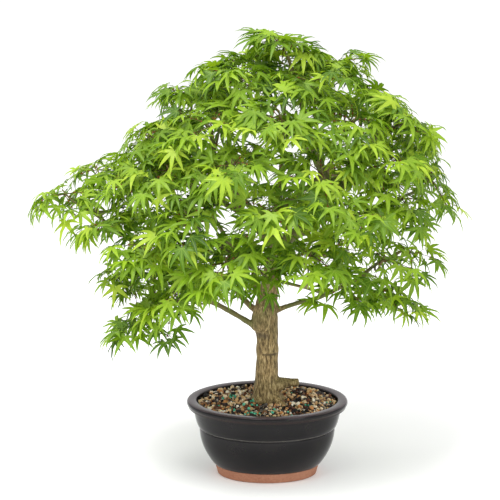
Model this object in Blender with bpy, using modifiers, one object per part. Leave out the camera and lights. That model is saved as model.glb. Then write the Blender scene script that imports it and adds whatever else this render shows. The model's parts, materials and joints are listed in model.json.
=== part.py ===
"""Japanese maple bonsai in an oval glazed pot.

Metres, +Z up. The origin is the centre of the pot's base, on the surface it stands on.
The pot's long side runs along X. Each leaf spray is a thin domed sheet that holds the place
of a cluster of leaves at the end of its twig.
"""

import math

import bmesh
import bpy
from mathutils import Quaternion, Vector

MM = 0.001
UP = Vector((0.0, 0.0, 1.0))

# Clearance between pieces that touch.
GAP = 0.0003

# Pot.
POT_LENGTH = 0.210
POT_WIDTH = 0.170
POT_HEIGHT = 0.1005
POT_WALL = 0.006
POT_FLOOR = 0.006
RIM_HEIGHT = 0.0095
RIM_OVERHANG = 0.0093
RIM_LAND = 0.013
BAND_HEIGHT = 0.028
BAND_TAPER = 0.0072
BELLY_TAPER = 0.019
FOOT_HEIGHT = 0.0135
FOOT_TAPER = 0.004
FOOT_STEP = 0.001
FOOT_RING = 0.010
FOOT_RIB = 0.016
FOOT_RECESS = 0.003
DRAIN_DIAMETER = 0.014
DRAIN_OFFSET = 0.034
POT_SIDES = 40

# Drainage meshes, soil and the gravel over it.
DRAIN_MESH_SIDE = 0.024
DRAIN_MESH_WIRE = 0.0012
DRAIN_MESH_CELLS = 4
GRAVEL_BELOW_RIM = 0.0035
GRAVEL_THICKNESS = 0.009
GRAVEL_MOUND = 0.003
PELLET_DIAMETER = 0.0045

# Tree. Its height is from the pot's rim to the top of the crown.
TREE_HEIGHT = 0.473
CROWN_SPREAD = 0.568
TRUNK_DIAMETER = 0.029
TWIG_DIAMETER = 0.0022
TWIG_FOOT_DIAMETER = 0.0034

# Leaf sprays.
SPRAY_THICKNESS = 0.003
SPRAY_DROOP = 0.24
SPRAY_LOBES = 7
SPRAY_NOTCH = 0.70
SPRAY_LEAN = math.radians(30.0)

# The tree's points are drawn on a tree of this height and spread, in millimetres, from the
# middle of the pot at the height of its rim. TREE_HEIGHT and CROWN_SPREAD stretch them.
DRAWN_HEIGHT = 473.0
DRAWN_SPREAD = 568.0
DRAWN_TRUNK = 29.0

# Points are (x, y, height, diameter).
TRUNK = [
    (0, 0, -34, 30), (0, 0, -14, 42), (0, 0, 0, 42), (-1, 0, 10, 36), (-1, 0, 24, 30.5),
    (0, 0, 53, 28.5), (0, 0, 78, 28.5), (-1, 0, 96, 30), (-2, 0, 110, 31.5), (-2, 0, 122, 29),
    (2, 0, 146, 24), (6, -1, 176, 20), (13, -2, 202, 18), (27, -5, 216, 16.5), (48, -8, 228, 15.5),
    (68, -8, 245, 14.5), (78, -5, 268, 13.5), (70, 0, 300, 12), (55, 0, 328, 10.5),
    (45, 2, 378, 8), (32, 0, 420, 5.5), (25, -3, 446, 3.4),
]
ROOTS = [
    [(4, -6, 6, 22), (13, -15, -1, 15), (23, -24, -6, 10), (34, -31, -14, 5)],
    [(-6, -6, 4, 18), (-15, -13, -4, 13), (-25, -20, -9, 9), (-36, -26, -17, 5)],
    [(8, 0, 6, 18), (20, 2, -4, 13), (31, 3, -9, 9), (41, 4, -17, 5)],
    [(-8, 3, 4, 18), (-20, 6, -5, 12), (-31, 9, -11, 8), (-40, 12, -19, 5)],
    [(2, 8, 4, 18), (8, 20, -5, 12), (13, 30, -11, 8), (18, 40, -19, 5)],
]
CUT_STUB = [(6, -2, 19, 24), (16, -3, 21, 19), (25, -4, 22.5, 13), (33, -5, 23.5, 10.5), (41, -6, 24.5, 9.5)]
BRANCHES = {
    "low_left": [(-4, 0, 89, 11), (-22, -6, 103, 8), (-49, -15, 122, 7), (-70, -22, 135, 6.6),
                 (-94, -30, 143, 6.2), (-114, -38, 140, 5.6), (-130, -44, 137, 5), (-154, -52, 138, 4)],
    "low_left_fork": [(-66, -20, 133, 5.4), (-83, -32, 149, 5), (-100, -50, 163, 4.5), (-125, -72, 172, 3.6)],
    "second_left": [(-6, 2, 112, 10), (-21, 6, 122, 9), (-33, 10, 133, 8.5), (-44, 13, 146, 8), (-55, 14, 158, 7.5),
                    (-72, 12, 160, 7), (-97, 8, 166, 6.5), (-133, 2, 184, 5.5), (-169, -4, 205, 5),
                    (-200, -8, 232, 4.5), (-219, -10, 247, 4), (-238, -12, 258, 3.4)],
    "third_left": [(0, 3, 132, 8), (-18, 14, 150, 7.5), (-29, 22, 165, 7), (-38, 30, 183, 6.5), (-52, 40, 203, 6),
                   (-70, 52, 232, 5.5), (-95, 64, 272, 5), (-120, 72, 318, 4)],
    "left_limb": [(10, -2, 196, 13), (-8, -5, 222, 11.5), (-34, -8, 252, 10.5), (-58, -10, 284, 9.5),
                  (-82, -12, 318, 8), (-102, -12, 352, 6), (-112, -6, 384, 4)],
    "left_leader": [(-48, -9, 270, 8), (-52, 4, 312, 7), (-48, 20, 358, 6), (-38, 32, 402, 4.5), (-32, 38, 424, 3.4)],
    "low_right": [(4, -1, 116, 9), (24, -6, 125, 7), (42, -10, 132, 6.6), (61, -14, 137, 6.4), (79, -17, 146, 6.2),
                  (97, -19, 156, 6), (114, -20, 163, 5.8), (136, -18, 184, 5.2), (155, -12, 190, 4.6),
                  (178, -6, 203, 3.8)],
    "hanging_right": [(114, -20, 163, 4.8), (128, -24, 152, 4.2), (134, -25, 144, 3.4)],
    "long_right": [(74, -7, 248, 8), (92, -4, 244, 7), (114, 0, 243, 6.5), (141, 3, 253, 6), (165, 5, 264, 5.2),
                   (191, 6, 273, 4)],
    "right_limb": [(76, -4, 274, 11), (96, -4, 298, 9), (120, -2, 326, 7.5), (146, 0, 356, 6), (162, 2, 382, 4)],
    "front_limb": [(9, -4, 186, 12), (8, -30, 208, 10), (4, -62, 232, 9), (0, -92, 252, 7.5), (-2, -120, 270, 5)],
    "front_left": [(3, -66, 235, 7.5), (-28, -84, 256, 6.5), (-58, -98, 282, 5.5), (-78, -106, 308, 4)],
    "front_right": [(3, -66, 234, 7.5), (34, -84, 248, 6.5), (66, -100, 268, 5.5), (88, -108, 298, 4.5),
                    (96, -108, 332, 3.6)],
    "front_crown": [(64, 0, 308, 8), (56, -26, 332, 7), (40, -52, 356, 6), (26, -76, 376, 4)],
    "low_front": [(4, -6, 158, 8), (-6, -34, 168, 7), (-18, -64, 176, 6), (-34, -92, 184, 5), (-52, -112, 192, 3.8)],
    "low_front_right": [(-4, -30, 167, 5.5), (20, -52, 168, 5), (48, -74, 166, 4.2), (66, -86, 162, 3.4)],
    "back_limb": [(6, 0, 172, 13), (8, 26, 198, 11.5), (12, 58, 224, 10), (16, 90, 254, 9), (20, 112, 292, 7),
                  (22, 108, 336, 5.5), (24, 100, 380, 4)],
    "back_left": [(10, 46, 215, 8), (-18, 66, 238, 7), (-48, 86, 266, 6), (-70, 100, 306, 5), (-74, 108, 348, 4)],
    "back_right": [(14, 74, 240, 8), (44, 88, 256, 7), (76, 100, 280, 6), (98, 108, 316, 5), (106, 110, 350, 4)],
    "low_back_left": [(4, 12, 160, 7), (-22, 42, 166, 6), (-44, 76, 174, 5), (-58, 100, 180, 3.8)],
    "low_back_right": [(6, 12, 162, 7.5), (38, 38, 168, 6.5), (70, 66, 176, 5.5), (96, 84, 182, 4)],
}

# Leaf sprays: the middle of each at its top, (x, y, height), and its radius.
SPRAYS = {
    "top": [(20, -5, 470, 44), (-32, 42, 447, 44), (76, 26, 444, 44), (-38, -52, 436, 46), (52, -70, 434, 46),
            (26, 104, 420, 46)],
    "upper": [(-98, 4, 410, 48), (138, 14, 410, 46), (-74, -106, 384, 50), (14, -132, 396, 48), (106, -92, 388, 48),
              (-62, 118, 392, 50), (110, 116, 386, 50), (178, -46, 386, 42)],
    "middle": [(-152, -28, 360, 46), (-128, 82, 356, 48), (-124, -108, 332, 48), (-44, -152, 346, 52),
               (62, -150, 336, 52), (146, -100, 338, 46), (182, 60, 342, 46), (30, 168, 344, 48)],
    "outer": [(-164, -62, 308, 46), (-158, 80, 308, 46), (-101, -148, 284, 50), (4, -176, 294, 50),
              (100, -152, 282, 50), (166, -76, 290, 46), (212, 6, 300, 42), (-88, 140, 298, 50), (120, 146, 294, 50)],
    "left_tip": [(-260, -20, 286, 42), (-222, 34, 308, 38), (-206, -70, 258, 36)],
    "lower": [(-144, -106, 238, 48), (-52, -168, 232, 50), (50, -162, 238, 48), (142, -112, 222, 46),
              (20, 166, 244, 50), (-140, 102, 234, 48)],
    "skirt": [(-162, -38, 188, 46), (-116, -124, 180, 48), (-12, -126, 212, 32), (90, -112, 188, 38),
              (186, -12, 208, 42), (142, -72, 168, 40), (112, 102, 190, 48), (-62, 120, 190, 48)],
    "hanging": [(-166, -74, 146, 38), (168, -26, 152, 32), (-118, 60, 146, 40)],
}

# Where the fertiliser pellets lie on the gravel, in millimetres.
PELLETS = [(-24, -44), (-30, -26), (6, -56)]


def remove_old_objects():
    for obj in list(bpy.data.objects):
        bpy.data.objects.remove(obj)


def new_collection(name):
    collection = bpy.data.collections.new(name)
    bpy.context.scene.collection.children.link(collection)
    return collection


def material(name, colour, roughness):
    made = bpy.data.materials.new(name)
    made.use_nodes = True
    shader = made.node_tree.nodes["Principled BSDF"]
    shader.inputs["Base Color"].default_value = (*colour, 1.0)
    shader.inputs["Roughness"].default_value = roughness
    shader.inputs["Metallic"].default_value = 0.0
    return made


def add_object(name, mesh, collection, made_of=None):
    obj = bpy.data.objects.new(name, mesh)
    collection.objects.link(obj)
    if made_of:
        mesh.materials.append(made_of)
    return obj


def as_cutter(obj):
    obj.hide_render = True
    obj.display_type = "WIRE"
    return obj


def boolean(obj, operation, other):
    modifier = obj.modifiers.new(operation.title(), "BOOLEAN")
    modifier.operation = operation
    modifier.solver = "EXACT"
    modifier.object = other


# The pot and what fills it are ovals whose long and short sides keep the same difference.


def oval(half_length, height):
    half_width = half_length - (POT_LENGTH - POT_WIDTH) / 2
    turns = [2 * math.pi * side / POT_SIDES for side in range(POT_SIDES)]
    return [Vector((half_length * math.cos(a), half_width * math.sin(a), height)) for a in turns]


def loft(name, sections, collection, made_of=None):
    """A closed solid through ovals given as (half length, height), the first and last filled."""
    built = bmesh.new()
    rings = [[built.verts.new(point) for point in oval(*section)] for section in sections]
    for lower, upper in zip(rings, rings[1:]):
        for side in range(POT_SIDES):
            after = (side + 1) % POT_SIDES
            built.faces.new((lower[side], lower[after], upper[after], upper[side]))
    built.faces.new(list(reversed(rings[0])))
    built.faces.new(rings[-1])
    bmesh.ops.recalc_face_normals(built, faces=built.faces)
    mesh = bpy.data.meshes.new(name)
    built.to_mesh(mesh)
    built.free()
    mesh.shade_smooth()
    mesh.set_sharp_from_angle(angle=math.radians(35))
    return add_object(name, mesh, collection, made_of)


def outer_profile():
    """The pot's outside, from its base to the top of its rim."""
    rim = POT_LENGTH / 2
    neck = rim - RIM_OVERHANG
    band_top = POT_HEIGHT - RIM_HEIGHT
    band_foot = band_top - BAND_HEIGHT
    belly = neck - BAND_TAPER
    foot = belly - BELLY_TAPER
    sections = [(foot - FOOT_STEP - FOOT_TAPER, 0.0), (foot - FOOT_STEP, FOOT_HEIGHT)]
    for step in range(6):
        down = 1.0 - step / 5
        height = FOOT_HEIGHT + (band_foot - FOOT_HEIGHT) * (1.0 - down)
        sections.append((belly - BELLY_TAPER * down * down, height))
    sections[-1] = (belly, band_foot - 0.002)
    sections.append((belly + 0.0005, band_foot))
    sections.append((neck - BAND_TAPER * 0.35, band_foot + BAND_HEIGHT * 0.30))
    sections.append((neck, band_top - 0.001))
    sections.append((rim - 0.0015, band_top))
    sections.append((rim, band_top + RIM_HEIGHT * 0.3))
    sections.append((rim, band_top + RIM_HEIGHT * 0.7))
    sections.append((rim - 0.0025, POT_HEIGHT - 0.0005))
    sections.append((rim - 0.006, POT_HEIGHT))
    return sections


def inner_profile(inset=0.0):
    """The pot's inside, from its floor to the inner edge of its rim, drawn in by inset."""
    rim = POT_LENGTH / 2
    neck = rim - RIM_OVERHANG
    band_top = POT_HEIGHT - RIM_HEIGHT
    band_foot = band_top - BAND_HEIGHT
    belly = neck - BAND_TAPER
    floor = FOOT_RECESS + POT_FLOOR
    sections = []
    for step in range(5):
        down = 1.0 - step / 4
        height = floor + (band_foot - floor) * (1.0 - down)
        sections.append((belly - BELLY_TAPER * down * down - POT_WALL - inset, height))
    sections.append((neck - POT_WALL - inset, band_top))
    sections.append((rim - RIM_LAND - inset, POT_HEIGHT - 0.003))
    return sections


def inner_half_length(height, inset):
    """The half length of the pot's inside at a height, drawn in by inset."""
    sections = inner_profile(inset)
    for (low_half, low), (high_half, high) in zip(sections, sections[1:]):
        if low <= height <= high:
            return low_half + (high_half - low_half) * (height - low) / (high - low)
    return sections[-1][0]


def prism(name, sections, cutters):
    return as_cutter(loft(name, sections, cutters))


def box_cutter(name, centre, size, cutters):
    bpy.ops.mesh.primitive_cube_add(size=1, location=centre)
    return take_cutter(name, size, cutters)


def cylinder_cutter(name, centre, diameter, length, cutters):
    bpy.ops.mesh.primitive_cylinder_add(vertices=20, radius=diameter / 2, depth=length, location=centre)
    return take_cutter(name, (1, 1, 1), cutters)


def take_cutter(name, size, cutters):
    obj = bpy.context.object
    obj.name = name
    obj.scale = size
    bpy.ops.object.transform_apply(location=False, rotation=False, scale=True)
    obj.users_collection[0].objects.unlink(obj)
    cutters.objects.link(obj)
    return as_cutter(obj)


def make_pot(parts, cutters):
    glaze = material("charcoal_glaze", (0.035, 0.028, 0.030), 0.22)
    inner = [*inner_profile(), (POT_LENGTH / 2 - RIM_LAND + 0.0015, POT_HEIGHT - 0.0008)]
    pot = loft("pot", outer_profile() + list(reversed(inner)), parts, glaze)
    recess_half = outer_profile()[0][0] - FOOT_RING
    recess = prism("foot_recess", [(recess_half, -FOOT_RECESS), (recess_half, FOOT_RECESS)], cutters)
    rib = box_cutter("foot_rib", (0, 0, 0), (FOOT_RIB, POT_WIDTH, 4 * FOOT_RECESS), cutters)
    boolean(recess, "DIFFERENCE", rib)
    boolean(pot, "DIFFERENCE", recess)
    for side, x in (("left", -DRAIN_OFFSET), ("right", DRAIN_OFFSET)):
        drain_length = 4 * (FOOT_RECESS + POT_FLOOR)
        hole = cylinder_cutter(f"drain_{side}", (x, 0, 0), DRAIN_DIAMETER, drain_length, cutters)
        boolean(pot, "DIFFERENCE", hole)


def make_drain_meshes(parts):
    plastic = material("drain_mesh_plastic", (0.03, 0.03, 0.03), 0.6)
    middle = FOOT_RECESS + POT_FLOOR + GAP + DRAIN_MESH_WIRE / 2
    for side, x in (("left", -DRAIN_OFFSET), ("right", DRAIN_OFFSET)):
        bpy.ops.mesh.primitive_grid_add(
            x_subdivisions=DRAIN_MESH_CELLS,
            y_subdivisions=DRAIN_MESH_CELLS,
            size=DRAIN_MESH_SIDE - DRAIN_MESH_WIRE,
            location=(x, 0, middle),
        )
        mesh = bpy.context.object
        mesh.name = f"drainage_mesh_{side}"
        mesh.users_collection[0].objects.unlink(mesh)
        parts.objects.link(mesh)
        mesh.data.materials.append(plastic)
        wires = mesh.modifiers.new("Wires", "WIREFRAME")
        wires.thickness = DRAIN_MESH_WIRE
        wires.use_boundary = True
        wires.use_even_offset = True


def gravel_foot():
    return POT_HEIGHT - GRAVEL_BELOW_RIM - GRAVEL_THICKNESS


def gravel_top(x, y):
    """The height of the gravel: level at the pot's wall, mounded towards the trunk."""
    half = inner_half_length(POT_HEIGHT - GRAVEL_BELOW_RIM, GAP)
    out = min(1.0, math.hypot(x, y * POT_LENGTH / POT_WIDTH) / half)
    return POT_HEIGHT - GRAVEL_BELOW_RIM + GRAVEL_MOUND * (1.0 - out * out)


def make_soil(parts, cutters, root_cutter):
    earth = material("potting_soil", (0.06, 0.035, 0.02), 0.95)
    floor = FOOT_RECESS + POT_FLOOR
    top = gravel_foot() - GAP
    sections = [(half, height + GAP) for half, height in inner_profile(GAP) if height + GAP < top]
    sections.append((inner_half_length(top, GAP), top))
    soil = loft("soil", sections, parts, earth)
    side = DRAIN_MESH_SIDE + 2 * GAP
    pocket_height = 2 * (DRAIN_MESH_WIRE + 2 * GAP)
    for name, x in (("left", -DRAIN_OFFSET), ("right", DRAIN_OFFSET)):
        pocket = box_cutter(f"mesh_pocket_{name}", (x, 0, floor), (side, side, pocket_height), cutters)
        boolean(soil, "DIFFERENCE", pocket)
    boolean(soil, "DIFFERENCE", root_cutter)


def make_gravel(parts, root_cutter):
    grit = material("gravel", (0.42, 0.31, 0.19), 0.9)
    foot = gravel_foot()
    level = POT_HEIGHT - GRAVEL_BELOW_RIM
    sections = [(inner_half_length(foot, GAP), foot)]
    sections += [(half, height) for half, height in inner_profile(GAP) if foot < height < level]
    edge = inner_half_length(level, GAP)
    sections.append((edge, level))
    for share in (0.80, 0.62, 0.46):
        half = edge * share
        sections.append((half, gravel_top(half, 0)))
    gravel = loft("gravel_top_dressing", sections, parts, grit)
    boolean(gravel, "DIFFERENCE", root_cutter)


def make_pellets(parts):
    green = material("fertiliser", (0.03, 0.45, 0.25), 0.5)
    radius = PELLET_DIAMETER / 2
    for index, (x, y) in enumerate(PELLETS, 1):
        place = (x * MM, y * MM, gravel_top(x * MM, y * MM) + radius + 2 * GAP)
        bpy.ops.mesh.primitive_ico_sphere_add(subdivisions=2, radius=radius, location=place)
        pellet = bpy.context.object
        pellet.name = f"fertiliser_pellet_{index}"
        pellet.users_collection[0].objects.unlink(pellet)
        parts.objects.link(pellet)
        pellet.data.shade_smooth()
        pellet.data.materials.append(green)


# The tree: tapered tubes along smooth curves, joined into one body.


def grown(x, y, height):
    """A drawn point, in metres, stretched to the tree's height and spread."""
    across = CROWN_SPREAD / DRAWN_SPREAD
    up = TREE_HEIGHT / DRAWN_HEIGHT if height > 0 else MM
    return Vector((x * across, y * across, height * up + POT_HEIGHT))


def rooted(x, y, height):
    """A drawn point of the roots, which keep their spread inside the pot."""
    return Vector((x * MM, y * MM, height * MM + POT_HEIGHT))


def smooth_route(points, place, steps):
    """(position, radius) along a smooth curve through drawn points."""
    known = [(place(x, y, height), diameter * MM / 2) for x, y, height, diameter in points]
    ends = [known[0], *known, known[-1]]
    route = []
    for before, here, after, beyond in zip(ends, ends[1:], ends[2:], ends[3:]):
        for step in range(steps):
            t = step / steps
            bend = (after[0] - before[0]) / 2, (beyond[0] - here[0]) / 2
            position = (
                here[0] * (2 * t**3 - 3 * t**2 + 1)
                + bend[0] * (t**3 - 2 * t**2 + t)
                + after[0] * (3 * t**2 - 2 * t**3)
                + bend[1] * (t**3 - t**2)
            )
            route.append((position, here[1] + (after[1] - here[1]) * t))
    route.append(known[-1])
    return route


def tube(name, route, sides_level, collection, swell=0.0):
    """A closed tube mesh along a route, its radius and its ends grown by swell."""
    curve = bpy.data.curves.new(name, "CURVE")
    curve.dimensions = "3D"
    curve.bevel_depth = MM
    curve.bevel_resolution = sides_level
    curve.use_fill_caps = True
    points = [position for position, _ in route]
    points[0] = points[0] + (points[0] - points[1]).normalized() * swell
    points[-1] = points[-1] + (points[-1] - points[-2]).normalized() * swell
    spline = curve.splines.new("POLY")
    spline.points.add(len(route) - 1)
    for point, position, (_, radius) in zip(spline.points, points, route):
        point.co = (*position, 1.0)
        point.radius = (radius + swell) / MM
    guide = add_object(f"{name}_guide", curve, collection)
    graph = bpy.context.evaluated_depsgraph_get()
    mesh = bpy.data.meshes.new_from_object(guide.evaluated_get(graph))
    welded = bmesh.new()
    welded.from_mesh(mesh)
    bmesh.ops.remove_doubles(welded, verts=welded.verts, dist=0.01 * MM)
    bmesh.ops.recalc_face_normals(welded, faces=welded.faces)
    welded.to_mesh(mesh)
    welded.free()
    made = add_object(name, mesh, collection)
    made.matrix_world = guide.matrix_world
    bpy.data.objects.remove(guide)
    return made


def trunk_route():
    """The trunk follows its drawn points, as thick as TRUNK_DIAMETER makes it."""
    ratio = TRUNK_DIAMETER / (DRAWN_TRUNK * MM)
    return [(position, radius * ratio) for position, radius in smooth_route(TRUNK, grown, 2)]


def wood_routes():
    """Every stretch of the tree but its twigs, as name, route and how many sides it has."""
    routes = [("trunk", trunk_route(), 4)]
    for index, points in enumerate(ROOTS, 1):
        routes.append((f"root_{index}", smooth_route(points, rooted, 2), 2))
    routes.append(("cut_stub", smooth_route(CUT_STUB, rooted, 1), 3))
    for name, points in BRANCHES.items():
        routes.append((name, smooth_route(points, grown, 1), 1))
    return routes


def spray_frame(x, y, height):
    """Where a spray's middle is, and the way its upper side faces: up, leaning outwards."""
    middle = grown(x, y, height) - UP * SPRAY_THICKNESS
    outwards = Vector((middle.x, middle.y, 0.0))
    reach = min(1.0, outwards.length / (CROWN_SPREAD * 0.4))
    lean = SPRAY_LEAN * reach
    facing = UP * math.cos(lean) + outwards.normalized() * math.sin(lean)
    return middle, facing


def all_sprays():
    listed = []
    for tier, places in SPRAYS.items():
        for index, (x, y, height, radius) in enumerate(places, 1):
            middle, facing = spray_frame(x, y, height)
            listed.append((f"leaf_spray_{tier}_{index}", middle, facing, radius * MM))
    return listed


def twig_route(middle, facing, branches):
    """A twig from the nearest branch that lies lower, ending square to the spray's underside."""
    tip = middle - facing * (SPRAY_THICKNESS * 0.75 + GAP)

    def cost(point):
        return (point - middle).length + 1.5 * max(0.0, point.z - middle.z + 0.012)

    start, start_radius = min(
        (stop for _, route, _ in branches for stop in route[1:-1]),
        key=lambda stop: cost(stop[0]),
    )
    reach = (middle - start).length
    knee = middle - facing * reach * 0.45
    foot_radius = min(TWIG_FOOT_DIAMETER / 2, start_radius * 0.95)
    route = []
    for step in range(5):
        t = step / 4
        position = start * (1 - t) ** 2 + knee * 2 * t * (1 - t) + tip * t**2
        route.append((position, foot_radius + (TWIG_DIAMETER / 2 - foot_radius) * t))
    return route


def unite(name, tubes, collection, made_of=None):
    """One body from tubes that run into each other."""
    first, *others = tubes
    for other in others:
        boolean(first, "UNION", other)
    graph = bpy.context.evaluated_depsgraph_get()
    mesh = bpy.data.meshes.new_from_object(first.evaluated_get(graph))
    for used in tubes:
        bpy.data.objects.remove(used)
    mesh.shade_smooth()
    mesh.set_sharp_from_angle(angle=math.radians(50))
    return add_object(name, mesh, collection, made_of)


def make_tree(parts, cutters, sprays):
    """The tree, and the slightly larger shape that cuts its place in the soil and the gravel."""
    bark = material("bark", (0.19, 0.14, 0.08), 0.85)
    wood = wood_routes()
    branches = [entry for entry in wood if entry[0] in BRANCHES or entry[0] == "trunk"]
    twigs = [(f"twig_{name}", twig_route(middle, facing, branches), 1) for name, middle, facing, _ in sprays]
    solid = [tube(name, route, level, cutters) for name, route, level in wood + twigs]
    unite("tree_wood", solid, parts, bark)
    in_pot = [entry for entry in wood if entry[0] == "trunk" or entry[0].startswith("root")]
    in_pot[0] = ("trunk", trunk_route()[:12], 4)
    swollen = [tube(f"{name}_cut", route, level, cutters, GAP) for name, route, level in in_pot]
    return as_cutter(unite("root_cutter", swollen, cutters))


def make_spray(name, middle, facing, radius, turn, parts, leafy):
    """A thin dome with a pointed, notched edge, its middle just over the end of its twig."""
    sides = 2 * SPRAY_LOBES
    built = bmesh.new()
    bmesh.ops.create_circle(built, cap_ends=True, cap_tris=True, radius=radius, segments=sides)
    level = Quaternion(UP, turn)
    tilt = UP.rotation_difference(facing)
    for vertex in built.verts:
        if vertex.co.length < radius / 2:
            vertex.co.z = 0.0
        else:
            side = round(math.atan2(vertex.co.y, vertex.co.x) / math.pi * SPRAY_LOBES + 0.5)
            share = SPRAY_NOTCH if side % 2 else 1.0
            vertex.co = vertex.co * share
            vertex.co.z = -radius * SPRAY_DROOP * share**2
        vertex.co = middle + tilt @ (level @ vertex.co)
    bmesh.ops.recalc_face_normals(built, faces=built.faces)
    mesh = bpy.data.meshes.new(name)
    built.to_mesh(mesh)
    built.free()
    spray = add_object(name, mesh, parts, leafy)
    sheet = spray.modifiers.new("Thickness", "SOLIDIFY")
    sheet.thickness = SPRAY_THICKNESS
    sheet.offset = 0.0


def make_sprays(sprays, parts):
    leafy = material("maple_leaf", (0.16, 0.36, 0.03), 0.5)
    golden_turn = math.radians(137.5)
    for index, (name, middle, facing, radius) in enumerate(sprays):
        make_spray(name, middle, facing, radius, index * golden_turn, parts, leafy)


remove_old_objects()
bonsai = new_collection("bonsai_tree_in_pot")
helpers = new_collection("cutters")
spray_list = all_sprays()
root_shape = make_tree(bonsai, helpers, spray_list)
make_pot(bonsai, helpers)
make_drain_meshes(bonsai)
make_soil(bonsai, helpers, root_shape)
make_gravel(bonsai, root_shape)
make_pellets(bonsai)
make_sprays(spray_list, bonsai)
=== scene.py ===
import json
import math
import random

import bmesh
import bpy
import numpy as np
from mathutils import Matrix, Quaternion, Vector, noise

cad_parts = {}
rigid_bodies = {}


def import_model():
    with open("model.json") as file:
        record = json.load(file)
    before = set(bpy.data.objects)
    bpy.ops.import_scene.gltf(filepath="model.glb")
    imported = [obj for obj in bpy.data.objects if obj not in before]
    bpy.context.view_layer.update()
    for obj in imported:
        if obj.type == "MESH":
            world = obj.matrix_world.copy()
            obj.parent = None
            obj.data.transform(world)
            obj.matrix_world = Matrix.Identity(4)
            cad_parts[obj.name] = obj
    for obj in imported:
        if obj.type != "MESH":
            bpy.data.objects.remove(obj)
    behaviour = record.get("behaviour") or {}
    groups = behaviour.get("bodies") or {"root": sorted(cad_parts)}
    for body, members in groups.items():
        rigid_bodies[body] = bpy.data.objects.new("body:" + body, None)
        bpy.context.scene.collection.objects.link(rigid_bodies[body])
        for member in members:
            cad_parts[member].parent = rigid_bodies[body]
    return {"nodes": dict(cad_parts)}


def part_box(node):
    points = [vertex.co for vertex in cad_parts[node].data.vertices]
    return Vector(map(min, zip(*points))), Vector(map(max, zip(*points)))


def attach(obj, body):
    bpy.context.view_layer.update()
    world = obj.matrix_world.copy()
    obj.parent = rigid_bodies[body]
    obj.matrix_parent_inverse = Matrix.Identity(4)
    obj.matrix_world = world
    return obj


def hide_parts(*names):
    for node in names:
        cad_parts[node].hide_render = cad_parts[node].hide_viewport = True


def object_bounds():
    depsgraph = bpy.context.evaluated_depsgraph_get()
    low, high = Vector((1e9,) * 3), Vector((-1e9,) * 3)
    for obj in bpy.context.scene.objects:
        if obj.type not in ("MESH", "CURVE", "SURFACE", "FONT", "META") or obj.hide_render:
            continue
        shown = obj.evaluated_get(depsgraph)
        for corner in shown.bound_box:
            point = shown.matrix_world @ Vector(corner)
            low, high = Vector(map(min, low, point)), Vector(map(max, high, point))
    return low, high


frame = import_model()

cad_bounds = [list(corner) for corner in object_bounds()]


# ---------------------------------------------------------------------------------------------
# Floor, light and camera.
# A plain white studio: a seamless white floor in white air, one wide soft light overhead, a
# weaker one from the front right, and a long lens that looks slightly down on the tree.

MM = 0.001
FLOOR_SIZE = 12
FLOOR_DROP = 0.5 * MM  # under the foot, so that the two faces never share a plane
WHITE_AIR_STRENGTH = 1.08
LIGHT_SIZE = 1.0
LIGHT_AIM = Vector((0, 0, 0.3))
CAMERA_PLACE = (-0.0224, -2.0, 0.731)
CAMERA_PITCH = 12.2  # degrees below level

bpy.ops.mesh.primitive_plane_add(size=FLOOR_SIZE, location=(0, 0, -FLOOR_DROP))
floor = bpy.context.object
floor.name = "studio_floor"
floor_paint = bpy.data.materials.new("studio_white")
floor_paint.use_nodes = True
floor_shader = floor_paint.node_tree.nodes["Principled BSDF"]
floor_shader.inputs["Base Color"].default_value = (0.98, 0.98, 0.98, 1)
floor_shader.inputs["Roughness"].default_value = 1.0
floor_shader.inputs["Specular IOR Level"].default_value = 0.0
floor.data.materials.append(floor_paint)

world = bpy.data.worlds.new("studio_air")
world.use_nodes = True
world.node_tree.nodes["Background"].inputs["Color"].default_value = (1, 1, 1, 1)
world.node_tree.nodes["Background"].inputs["Strength"].default_value = WHITE_AIR_STRENGTH
bpy.context.scene.world = world


def soft_light(name, place, power):
    """A square soft light at a place, turned to the middle of the tree."""
    light = bpy.data.lights.new(name, "AREA")
    light.shape = "SQUARE"
    light.size = LIGHT_SIZE
    light.energy = power
    lamp = bpy.data.objects.new(name, light)
    bpy.context.scene.collection.objects.link(lamp)
    lamp.location = place
    lamp.rotation_euler = (LIGHT_AIM - Vector(place)).to_track_quat("-Z", "Y").to_euler()


soft_light("overhead_softbox", (-0.45, -0.75, 1.9), 42)
soft_light("front_fill", (1.3, -1.9, 1.1), 9)

camera_data = bpy.data.cameras.new("studio_camera")
camera_data.lens = 115.2
camera_data.sensor_width = 36
camera = bpy.data.objects.new("studio_camera", camera_data)
bpy.context.scene.collection.objects.link(camera)
camera.location = CAMERA_PLACE
camera.rotation_euler = (math.radians(90 - CAMERA_PITCH), 0, 0)
bpy.context.scene.camera = camera
bpy.context.scene.view_settings.view_transform = "Standard"


# ---------------------------------------------------------------------------------------------
# Pot.
# An oval bonsai pot of stoneware, thrown and pressed oval, dipped in a near-black glaze down to
# just over its foot. It has a rolled rim, a shallow band under it, and a bare clay foot.

FOOT_HEIGHT = 13.5 * MM
BELLY_TAPER = 19 * MM  # how much narrower the belly is where it meets the foot
BELLY_STEPS = 16
RIM_ROLL_OUT = 3.2 * MM
RIM_ROLL_UP = 3.6 * MM
RIM_STEPS = 6
RECESS_HALF = 54.5 * MM
RECESS_DEPTH = 3 * MM
RIB_WIDTH = 16 * MM
HOLE_OUT = 34 * MM
HOLE_RADIUS = 7 * MM


def select_only(piece):
    for other in bpy.context.view_layer.objects:
        other.select_set(False)
    piece.select_set(True)
    bpy.context.view_layer.objects.active = piece


pot_low, pot_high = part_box("pot")
rim_half = (pot_high.x - pot_low.x) / 2
oval_gap = rim_half - (pot_high.y - pot_low.y) / 2
rim_height = pot_high.z
neck_half = rim_half - 9.3 * MM
belly_half = neck_half - 7.2 * MM
belly_height = rim_height - 38.5 * MM


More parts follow.
